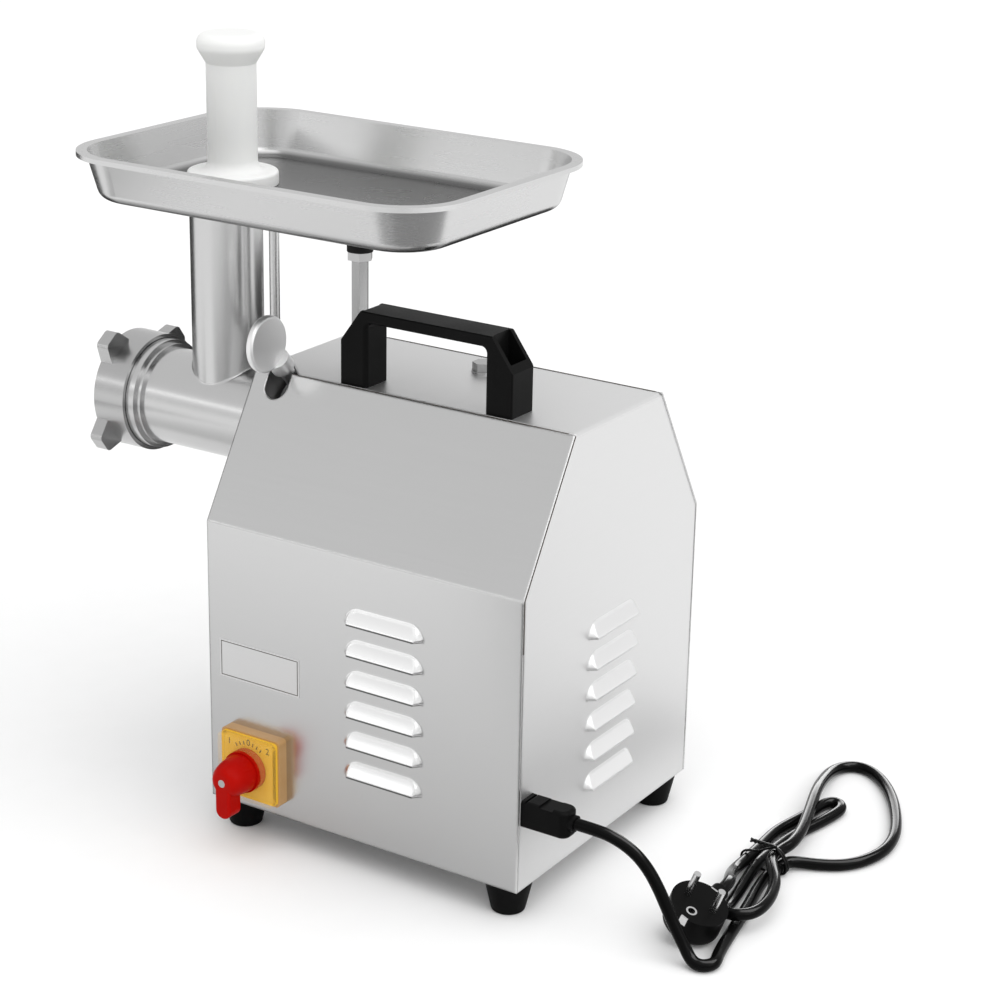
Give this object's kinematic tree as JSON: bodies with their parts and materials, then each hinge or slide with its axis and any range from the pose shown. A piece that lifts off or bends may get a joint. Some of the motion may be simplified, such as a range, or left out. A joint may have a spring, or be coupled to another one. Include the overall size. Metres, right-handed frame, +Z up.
{
  "type": "electric meat grinder",
  "caption": "Countertop electric meat grinder with a folded stainless housing, a top tray with a pusher, a front grinding head, a side rotary switch and a coiled mains lead",
  "frame": {"origin": "on the floor plane under the housing, midway between the four feet", "axes": "+Z up; -Y to the front, where the grinding head is; +X to the side with the rotary switch; +Y to the rear with the power inlet"},
  "size_m": [0.3711, 0.561, 0.5198],
  "materials": {
    "housing_steel": "satin stainless sheet",
    "base_steel": "plain sheet steel",
    "foot_rubber": "black rubber",
    "fastener_steel": "zinc-plated steel",
    "black_plastic": "black moulded plastic",
    "polished_steel": "polished stainless steel",
    "cutting_steel": "ground steel",
    "pusher_plastic": "white polyethylene",
    "cast_aluminium": "as cast",
    "bush_bronze": "sintered bronze",
    "gear_steel": "machined, oiled",
    "motor_paint": "dark grey paint",
    "core_steel": "stacked sheet",
    "winding_copper": "varnished copper wire",
    "capacitor_plastic": "pale moulded case",
    "dial_yellow": "yellow printed dial",
    "clear_cover": "clear cover over the dial",
    "knob_red": "red moulded plastic",
    "contact_brass": "brass pins",
    "plug_nickel": "nickel-plated brass",
    "lead_black": "black flexible sheath and mouldings",
    "tie_black": "black plastic-coated tie"
  },
  "bodies": {
    "machine": {"auger_bush": "bush_bronze", "base_plate": "base_steel", "capacitor_clip": "base_steel", "carrying_handle": "black_plastic", "cord_connector": "lead_black", "cord_hank": "lead_black", "cord_tie": "tie_black", "foot_front_left": "foot_rubber", "foot_front_right": "foot_rubber", "foot_rear_left": "foot_rubber", "foot_rear_right": "foot_rubber", "foot_screws": "fastener_steel", "gearbox_bolts": "fastener_steel", "gearbox_bushes": "bush_bronze", "gearbox_casing": "cast_aluminium", "gearbox_cover": "cast_aluminium", "grinder_head": "polished_steel", "grinding_plate": "cutting_steel", "handle_screws": "fastener_steel", "head_socket": "cast_aluminium", "housing_wrap": "housing_steel", "inlet_contacts": "contact_brass", "mains_plug": "lead_black", "motor_bearings": "gear_steel", "motor_bells": "cast_aluminium", "motor_casing": "motor_paint", "motor_cradle": "base_steel", "oil_seal": "foot_rubber", "plug_pins": "plug_nickel", "power_cord": "lead_black", "power_inlet": "black_plastic", "rod_nut": "fastener_steel", "rubber_buffer": "foot_rubber", "run_capacitor": "capacitor_plastic", "side_cover_plain": "housing_steel", "side_cover_switch": "housing_steel", "stator_core": "core_steel", "stator_winding": "winding_copper", "switch_body": "black_plastic", "switch_dial": "dial_yellow", "switch_frame": "clear_cover", "switch_window": "clear_cover", "top_bolt": "fastener_steel", "tray_rod": "polished_steel", "tray_stay": "polished_steel"},
    "motor_rotor": {"motor_shaft": "gear_steel", "rotor_core": "core_steel", "cooling_fan": "black_plastic"},
    "layshaft": {"lay_shaft": "gear_steel", "lay_wheel": "gear_steel"},
    "auger_drive": {"output_gear": "gear_steel", "output_spindle": "gear_steel", "auger": "cutting_steel", "cross_knife": "cutting_steel"},
    "ring_nut_body": {"ring_nut": "polished_steel"},
    "lock_body": {"locking_screw": "polished_steel"},
    "knob_body": {"switch_knob": "knob_red", "switch_spindle": "fastener_steel"},
    "tray_body": {"tray": "polished_steel"},
    "pusher_body": {"pusher": "pusher_plastic"}
  },
  "joints": [
    {"name": "rotor_spin", "type": "hinge", "parent": "machine", "child": "motor_rotor", "pos_m": [0, 0, 0.138], "axis": [0, 1, 0], "continuous": true},
    {"name": "layshaft_spin", "type": "hinge", "parent": "machine", "child": "layshaft", "pos_m": [0, 0, 0.198], "axis": [0, 1, 0], "continuous": true},
    {"name": "auger_spin", "type": "hinge", "parent": "machine", "child": "auger_drive", "pos_m": [0, 0, 0.258], "axis": [0, 1, 0], "continuous": true},
    {"name": "ring_turn", "type": "hinge", "parent": "machine", "child": "ring_nut_body", "pos_m": [0, -0.2713, 0.258], "axis": [0, -1, 0], "range_deg": [0, 1080]},
    {"name": "lock_turn", "type": "hinge", "parent": "machine", "child": "lock_body", "pos_m": [0, -0.103, 0.258], "axis": [0.6691, 0, 0.7431], "range_deg": [0, 720]},
    {"name": "switch_turn", "type": "hinge", "parent": "machine", "child": "knob_body", "pos_m": [0.11, -0.0833, 0.0565], "axis": [1, 0, 0], "range_deg": [-45, 45]},
    {"name": "tray_lift", "type": "slide", "parent": "machine", "child": "tray_body", "axis": [0, 0, 1], "range_m": [0, 0.06]},
    {"name": "pusher_lift", "type": "slide", "parent": "tray_body", "child": "pusher_body", "axis": [0, 0, 1], "range_m": [0, 0.11]}
  ],
  "couplings": [
    {"joint": "layshaft_spin", "follows": "rotor_spin", "ratio": -0.33333},
    {"joint": "auger_spin", "follows": "rotor_spin", "ratio": 0.12121}
  ]
}
